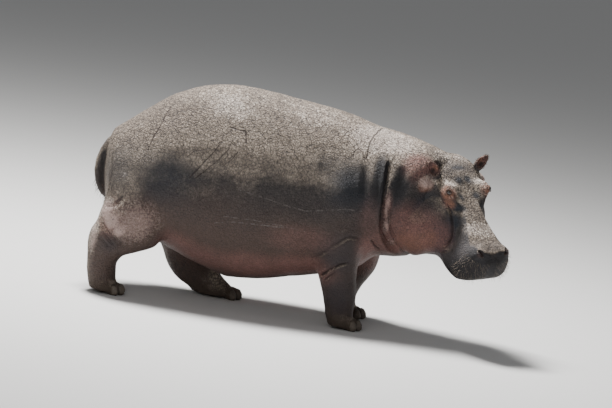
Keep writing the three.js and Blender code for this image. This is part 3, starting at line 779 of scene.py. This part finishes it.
def stroke(points, wide):
    nearest = None
    for (x0, z0), (x1, z1) in zip(points, points[1:]):
        gap = flat.vector("SUBTRACT", flat, (x0 + 0.005, 0, z0 + 0.005))
        run = (x1 - x0, 0, z1 - z0)
        along = gap.vector("DOT_PRODUCT", gap, run, outlet="Value") * (1 / (run[0] ** 2 + run[2] ** 2))
        along = paint.node("Clamp", None, {0: along})
        foot = paint.node("VectorMath", {"operation": "SCALE"}, {0: run, "Scale": along})
        away = gap.vector("DISTANCE", gap, foot, outlet="Value")
        nearest = away if nearest is None else nearest.least(away)
    return nearest.rising(wide, wide * 0.25)


cuts = [
    ([(-0.966, 1.304), (-0.994, 1.237), (-1.020, 1.158), (-1.049, 1.095), (-1.069, 1.014)], 0.006),
    ([(-0.548, 1.250), (-0.500, 1.243), (-0.439, 1.235), (-0.425, 1.17)], 0.008),
    ([(-0.586, 1.149), (-0.640, 1.062), (-0.700, 0.973), (-0.762, 0.889)], 0.006),
    ([(-0.527, 1.119), (-0.588, 1.031), (-0.663, 0.953), (-0.721, 0.889)], 0.005),
    ([(-0.47, 1.10), (-0.50, 1.05), (-0.56, 0.99)], 0.004),
    ([(-0.80, 1.02), (-0.76, 1.06), (-0.70, 1.08)], 0.005),
    ([(0.468, 1.364), (0.437, 1.342), (0.409, 1.305), (0.394, 1.268), (0.388, 1.223), (0.388, 1.179)], 0.007),
    ([(0.294, 1.173), (0.302, 1.212), (0.326, 1.227), (0.356, 1.212), (0.368, 1.176)], 0.005),
]
scars = [
    ([(-0.419, 0.857), (-0.281, 0.838), (-0.107, 0.802), (0.031, 0.780), (0.182, 0.808), (0.293, 0.830), (0.408, 0.830)], 0.006),
    ([(-0.551, 0.611), (-0.420, 0.639), (-0.239, 0.647), (-0.084, 0.648)], 0.007),
    ([(-0.50, 0.665), (-0.30, 0.672), (-0.10, 0.66), (0.05, 0.64)], 0.005),
]
cut = scar = None
for points, wide in cuts:
    cut = stroke(points, wide) if cut is None else cut.most(stroke(points, wide))
for points, wide in scars:
    scar = stroke(points, wide) if scar is None else scar.most(stroke(points, wide))
cut = cut * right_side
scar = scar * right_side * (0.35 + blotch)

# lit and shaded copies of the hide: what faces the light, up and back, gets a pale lit tone, partly dust and partly
# painted light; the flanks get a darker painted shaded tone, and the belly is pink
sideways = paint.node("SeparateXYZ", None, {0: normal}, 1)
facing_light = normal.vector("DOT_PRODUCT", normal, (-0.25, 0, 0.96), outlet="Value") - sideways.maths("ABSOLUTE", sideways) * 0.12
speckle = place.noise(15, 8, 0.80).rising(0.43, 0.58)
flecks = place.noise(58, 5, 0.80).rising(0.45, 0.56)
dust_and_light = (facing_light + (broad - 0.5) * 0.22 + (mottle - 0.5) * 0.20).rising(-0.07, 0.26)
# no lit tone under the painted shadow and the painted shade
dust_and_light = dust_and_light * (1 - held["slate"] * 0.92) * (1 - held["soot"] * 0.9) * (1 - held["blush"] * 0.30)

# the painted shaded tone, with its blotches, flecks and pores
dark = paint.node("ValToRGB", {"stops": [
    (0.22, (0.016, 0.014, 0.015)), (0.50, (0.036, 0.031, 0.031)), (0.80, (0.072, 0.061, 0.058)),
]}, {0: blotch * 0.30 + broad * 0.15 + flecks * 0.20 + mottle * 0.20 + pores * 0.15})
lower = (0.95 - height + (broad - 0.5) * 0.3).rising(0.0, 0.45)
dark = laid(paint, dark, (0.094, 0.056, 0.042), lower * 0.60)
# painted shadow, laid as a dark bluish tone
dark = laid(paint, dark, (0.014, 0.022, 0.034), (held["slate"] * (0.5 + blotch * 0.6)).least(0.95))
dark = laid(paint, dark, (0.250, 0.118, 0.102), (held["blush"] * (0.15 + blotch * 0.8 + flecks * 0.20)).least(0.95))
# the painted lit tone, partly dust
light = paint.node("ValToRGB", {"stops": [
    (0.0, (0.050, 0.038, 0.030)), (0.30, (0.165, 0.129, 0.100)), (0.60, (0.325, 0.262, 0.206)), (0.95, (0.850, 0.780, 0.690)),
]}, {0: speckle * 0.16 + flecks * 0.20 + grit * 0.24 + broad * 0.22 + held["chalk"].least(1.0) * 0.36})
# paler where the surface turns away from the light
light = laid(paint, light, (0.60, 0.50, 0.40), facing_light.rising(0.62, 0.15) * 0.42 * (0.5 + speckle * 0.5))
light = laid(paint, light, (0.36, 0.17, 0.14), held["blush"] * 0.65)
# the lit tone where the surface faces the light, the painted shaded tone elsewhere
colour = dark.node("Mix", {"data_type": "RGBA"}, {0: dust_and_light, 6: dark, 7: light}, 2)
colour = laid(paint, colour, (0.30, 0.135, 0.080), held["rust"] * (0.25 + mottle * 0.7))
# pale patches, partly dust and partly painted light
pale = (held["chalk"].least(1.0) * (0.2 + flecks * 0.9)).rising(0.25, 0.95) * (0.2 + dust_and_light * 0.8)
colour = laid(paint, colour, (0.60, 0.50, 0.43), pale * 0.85)
# painted highlight: a smooth pale tone where the pale marks are strongest, on the haunch, the lump under each ear and
# the neck roll
smooth = (held["chalk"] - 1).rising(0.0, 1.5)
colour = laid(paint, colour, (0.46, 0.345, 0.31), smooth * (0.55 + mottle * 0.45))
colour = laid(paint, colour, (0.22, 0.20, 0.185), scar * place.noise(30, 2).rising(0.35, 0.65) * 0.55)
freckles = warped.cells(58).rising(0.34, 0.16) * place.noise(19, 2).rising(0.48, 0.60)
colour = laid(paint, colour, (0.030, 0.024, 0.026), freckles * 0.65)
colour = laid(paint, colour, (0.022, 0.018, 0.018), (lines * (0.25 + blotch * 0.35 + dust_and_light * 0.45)).least(0.9) * (1 - smooth * 0.6))
colour = laid(paint, colour, (0.026, 0.021, 0.021), (1 - pores) * 0.35 * (1 - smooth * 0.5))
# near black for the dark skin and the painted shade
colour = laid(paint, colour, (0.012, 0.010, 0.010), (held["soot"] * (0.6 + mottle * 0.6)).least(0.95))
# painted shade in the folds
colour = laid(paint, colour, (0.014, 0.008, 0.008), held["crease"].rising(0.05, 0.9) * 0.9)
colour = laid(paint, colour, (0.018, 0.010, 0.009), cut * (0.45 + mottle * 0.55))
colour = laid(paint, colour, (0.070, 0.052, 0.038), (held["mud"] * (blotch * 1.6)).least(0.85))
surface.inputs["Specular IOR Level"].default_value = 0.30
paint.tree.links.new(colour.socket, surface.inputs["Base Color"])
rough = 0.48 + mottle * 0.22 + dust_and_light * 0.18 + held["soot"] * 0.08 + held["mud"] * 0.15
paint.tree.links.new(rough.socket, surface.inputs["Roughness"])

relief = net * 0.5 + cross_net * 0.45 + grain * 0.3 + grit * 0.3 + pores * 0.25 + blotch * 1.2 + mottle * 0.7
relief = relief + scar * 0.3 - cut * 1.2 - (1 - crackle) * held["cracked"] * 0.8
bump = paint.node("Bump", None, {"Strength": 0.75, "Distance": 0.005, "Height": relief})
paint.tree.links.new(bump.socket, surface.inputs["Normal"])
hide.data.materials.clear()
hide.data.materials.append(skin)
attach(hide, "root")
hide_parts(*flesh)

# ---------------------------------------------------------------- eyes
# Each is a wet ball 46 mm across, dark brown with a darker iris, sunk in its lids at the top of a bulging
# orbit. The clear cornea stands 1.5 mm proud.
for side, (at, axis) in eyes.items():
    axis = Vector(axis).normalized()
    bpy.ops.object.select_all(action="DESELECT")
    bpy.ops.mesh.primitive_uv_sphere_add(segments=48, ring_count=32, radius=EYE, location=(0, 0, 0))
    ball = bpy.context.object
    ball.name = "wet_eye_" + ("right" if side < 0 else "left")
    bpy.ops.object.mode_set(mode="EDIT")
    bpy.ops.mesh.select_mode(type="VERT")
    bpy.ops.mesh.select_all(action="DESELECT")
    bpy.ops.object.mode_set(mode="OBJECT")
    for point in ball.data.vertices:
        point.select = point.co.z > EYE * 0.86
    bpy.ops.object.mode_set(mode="EDIT")
    bpy.ops.transform.resize(value=(0.96, 0.96, 1.0))
    bpy.ops.transform.translate(value=(0, 0, 0.0012))
    bpy.ops.mesh.select_all(action="SELECT")
    bpy.ops.mesh.normals_make_consistent(inside=False)
    bpy.ops.object.mode_set(mode="OBJECT")
    ball.rotation_euler = axis.to_track_quat("Z", "Y").to_euler()
    ball.location = at
    bpy.ops.object.transform_apply(location=True, rotation=True, scale=True)
    bpy.ops.object.shade_smooth()
    wet, paint, surface = material("wet eye " + ("right" if side < 0 else "left"), Roughness=0.08, Coat_Weight=0.6, Coat_Roughness=0.02)
    place = paint.node("TexCoord", outlet="Object")
    way = place.vector("NORMALIZE", place.vector("SUBTRACT", place, tuple(at)))
    facing_out = way.vector("DOT_PRODUCT", way, tuple(axis), outlet="Value")
    fibres = way.noise(30, 4, 0.7)
    colour = paint.node("ValToRGB", {"stops": [
        (0.0, (0.20, 0.12, 0.09)), (0.72, (0.12, 0.065, 0.045)), (0.78, (0.014, 0.008, 0.006)), (0.90, (0.030, 0.015, 0.008)), (0.950, (0.016, 0.008, 0.005)), (0.960, (0.001, 0.001, 0.001)),
    ]}, {0: facing_out + (fibres - 0.5) * 0.05})
    paint.tree.links.new(colour.socket, surface.inputs["Base Color"])
    ball.data.materials.append(wet)
    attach(ball, "root")
    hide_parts("eye_right" if side < 0 else "eye_left")

# ---------------------------------------------------------------- muzzle bristles
# Stiff pale whiskers, 20 to 34 mm long and 1.2 mm thick at the root, standing from the pads of the upper
# lip. Each is a slim cone of four sides, bent a little down, and all are one mesh.
def bristled(name, roots, ways, lengths, thick, droop, places):
    across = np.cross(ways, (0.31, 0.2, 0.93))
    across /= np.linalg.norm(across, axis=1)[:, None]
    third = np.cross(ways, across)
    corners, faces, patches = [], [], []
    for share, full in ((-0.12, 1.0), (0.45, 0.75), (0.8, 0.42)):
        middle = roots + ways * (lengths * share)[:, None] + droop * (lengths * max(share, 0) ** 2)[:, None]
        for turn in range(4):
            spread = across * math.cos(turn * math.pi / 2) + third * math.sin(turn * math.pi / 2)
            corners.append(middle + spread * thick * 0.5 * full)
    corners.append(roots + ways * lengths[:, None] + droop * lengths[:, None])
    corners = np.stack(corners, axis=1)
    for number, place in enumerate(places):
        first = 13 * number
        for ring in range(2):
            for turn in range(4):
                after = (turn + 1) % 4
                low, high = first + 4 * ring, first + 4 * ring + 4
                faces.append((low + turn, low + after, high + after, high + turn))
                patches += [(turn, ring), (turn + 1, ring), (turn + 1, ring + 1), (turn, ring + 1)]
        for turn in range(4):
            faces.append((first + 8 + turn, first + 8 + (turn + 1) % 4, first + 12))
            patches += [(turn, 2), (turn + 1, 2), (turn + 0.5, 3)]
        faces.append((first + 3, first + 2, first + 1, first))
        patches += [(3, 0), (2, 0), (1, 0), (0, 0)]
    mesh = bpy.data.meshes.new(name)
    mesh.from_pydata(corners.reshape(-1, 3).tolist(), [], faces)
    piece = bpy.data.objects.new(name, mesh)
    bpy.context.scene.collection.objects.link(piece)
    # each bristle's patch of the map is 0.003 across, at its root's place on the skin unrolled
    held_at = np.repeat(np.asarray(places), 8 * 4 + 4 * 3 + 4, axis=0)
    patch = np.asarray(patches, float) / (4, 3) * 0.003 - 0.0015
    mesh.uv_layers.new(name="OFBake").data.foreach_set("uv", (held_at + patch).ravel())
    bpy.ops.object.select_all(action="DESELECT")
    piece.select_set(True)
    bpy.context.view_layer.objects.active = piece
    bpy.ops.object.mode_set(mode="EDIT")
    bpy.ops.mesh.select_all(action="SELECT")
    bpy.ops.mesh.normals_make_consistent(inside=False)
    bpy.ops.object.mode_set(mode="OBJECT")
    bpy.ops.object.shade_smooth()
    return piece


def scattered(chosen, count, seed, apart):
    rng = np.random.default_rng(seed)
    kept = []
    for row in rng.permutation(np.flatnonzero(chosen)):
        if all(np.linalg.norm(spots[row] - spots[other]) > apart for other in kept):
            kept.append(row)
        if len(kept) == count:
            break
    return np.array(kept), rng


pads = (here[:, 0] > 0.60) & (here[:, 2] > -0.215) & (here[:, 2] < -0.045) & (np.abs(here[:, 1]) > 0.03) & is_head.astype(bool)
rows, rng = scattered(pads & (bridge_up < 0.6), 260, 11, 0.009)
ways = facing[rows] + 0.30 * rng.normal(size=(len(rows), 3)) + (0, 0, -0.35)
ways /= np.linalg.norm(ways, axis=1)[:, None]
around = np.arctan2(here[rows, 1], -here[rows, 2]) / 7 + 0.5
whiskers = bristled(
    "muzzle_bristles", spots[rows], ways, rng.uniform(0.020, 0.034, len(rows)), 0.0013, np.array((0, 0, -0.25)),
    np.stack([around, here[rows, 0]], axis=1),
)
hair, paint, surface = material("pale bristle", Roughness=0.45)
place = paint.node("TexCoord", outlet="Object")
colour = paint.node("ValToRGB", {"stops": [(0.35, (0.16, 0.115, 0.08)), (0.65, (0.36, 0.29, 0.22))]}, {0: place.noise(70, 2)})
paint.tree.links.new(colour.socket, surface.inputs["Base Color"])
whiskers.data.materials.append(hair)
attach(whiskers, "root")

# ---------------------------------------------------------------- ear fringes
# Short dark hairs, 8 to 15 mm, round the rim of each ear and lying along its cup.
dark_hair, paint, surface = material("dark hair", Roughness=0.5)
place = paint.node("TexCoord", outlet="Object")
colour = paint.node("ValToRGB", {"stops": [(0.35, (0.035, 0.022, 0.016)), (0.7, (0.12, 0.07, 0.045))]}, {0: place.noise(70, 2)})
paint.tree.links.new(colour.socket, surface.inputs["Base Color"])
for side, (root, axes) in ears.items():
    local = (spots - root) @ axes
    round_rim = np.hypot(local[:, 1] / EAR_HALF, (local[:, 2] - 0.060) / 0.062)
    rim = (round_rim > 0.80) & (round_rim < 1.1) & (local[:, 2] > 0.035) & (np.abs(local[:, 0]) < 0.02)
    rows, rng = scattered(rim, 150, 20 + side, 0.0022)
    out = np.stack([0.2 + 0 * local[rows, 0], local[rows, 1] / EAR_HALF, (local[rows, 2] - 0.045) / 0.06], axis=1)
    ways = out @ axes.T + 0.22 * rng.normal(size=(len(rows), 3))
    ways /= np.linalg.norm(ways, axis=1)[:, None]
    fringe = bristled(
        "ear_fringe_" + ("right" if side < 0 else "left"), spots[rows], ways, rng.uniform(0.008, 0.015, len(rows)), 0.0008,
        axes @ (0.0, 0.0, 0.2), np.stack([0.5 + 3 * local[rows, 1], 0.2 + 4 * local[rows, 2]], axis=1),
    )
    fringe.data.materials.append(dark_hair)
    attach(fringe, "root")

# ---------------------------------------------------------------- tail bristles
# Coarse black bristles, 30 to 50 mm, in a row down the front and back edges of the flattened tail's tip.
tail_tip = np.all((spots > tail_low - 0.01) & (spots < tail_high + 0.01), axis=1) & (spots[:, 2] < tail_low[2] + 0.12)
rows, rng = scattered(tail_tip & (np.abs(facing[:, 0]) > 0.55), 140, 31, 0.004)
ways = facing[rows] * 0.45 + 0.12 * rng.normal(size=(len(rows), 3)) + (0, 0, -1)
ways /= np.linalg.norm(ways, axis=1)[:, None]
tuft = bristled(
    "tail_bristles", spots[rows], ways, rng.uniform(0.030, 0.050, len(rows)), 0.0018, np.array((0, 0, -0.1)),
    np.stack([0.5 + 2 * (spots[rows, 0] - tail_low[0]), 0.3 + 2 * (spots[rows, 2] - tail_low[2])], axis=1),
)
tuft.data.materials.append(dark_hair)
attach(tuft, "root")

# ---------------------------------------------------------------- toenails
# Four blunt hooves of dull horn on each foot, worn at the edge, muddy, set in the toes.
bpy.ops.object.select_all(action="DESELECT")
for name in nail_nodes:
    piece = copied(name)
    finished(piece, "DISPLACE", strength=0.001, mid_level=0)
bpy.ops.object.join()
nails = bpy.context.object
nails.name = "toenails"
finished(nails, "REMESH", mode="VOXEL", voxel_size=0.0028)
finished(nails, "SMOOTH", factor=0.5, iterations=10)
bpy.ops.object.shade_smooth()
horn, paint, surface = material("dull horn")
place = paint.node("TexCoord", outlet="Object")
streaks = place.stretched((1, 1, 0.18)).noise(160, 3, 0.6)
stain_and_shade = place.noise(24, 3, 0.6)
low = paint.node("SeparateXYZ", None, {0: place}, 2).rising(0.035, 0.0)
colour = paint.node("ValToRGB", {"stops": [(0.3, (0.060, 0.046, 0.036)), (0.55, (0.130, 0.104, 0.080)), (0.8, (0.22, 0.18, 0.14))]}, {0: streaks * 0.6 + stain_and_shade * 0.4})
colour = laid(paint, colour, (0.085, 0.062, 0.042), low * 0.7)
paint.tree.links.new(colour.socket, surface.inputs["Base Color"])
paint.tree.links.new((0.45 + stain_and_shade * 0.35).socket, surface.inputs["Roughness"])
bump = paint.node("Bump", None, {"Strength": 0.4, "Distance": 0.0015, "Height": streaks + stain_and_shade})
paint.tree.links.new(bump.socket, surface.inputs["Normal"])
nails.data.materials.clear()
nails.data.materials.append(horn)
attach(nails, "root")
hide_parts(*nail_nodes)

# ---------------------------------------------------------------- floor and light
# A pale seamless floor, one broad soft light from above and behind, and a weaker one beside the camera.
bpy.ops.object.select_all(action="DESELECT")
bpy.ops.mesh.primitive_circle_add(vertices=96, radius=150, fill_type="NGON")
floor = bpy.context.object
floor.name = "floor"
paper = bpy.data.materials.new("pale paper")
paper.use_nodes = True
paper.node_tree.nodes["Principled BSDF"].inputs["Base Color"].default_value = (0.72, 0.71, 0.69, 1)
paper.node_tree.nodes["Principled BSDF"].inputs["Roughness"].default_value = 0.9
floor.data.materials.append(paper)

for place, size, power in (((-1.7, 1.3, 7.2), 2.0, 1700), ((-3.5, -9, 5), 6.0, 185)):
    bpy.ops.object.light_add(type="AREA", location=place)
    lamp = bpy.context.object
    lamp.data.size = size
    lamp.data.energy = power
    lamp.rotation_euler = (Vector((0, 0, 0.7)) - Vector(place)).to_track_quat("-Z", "Y").to_euler()
sky = bpy.data.worlds.new("sky")
sky.use_nodes = True
sky.node_tree.nodes["Background"].inputs["Color"].default_value = (0.85, 0.87, 0.9, 1)
sky.node_tree.nodes["Background"].inputs["Strength"].default_value = 0.23
bpy.context.scene.world = sky
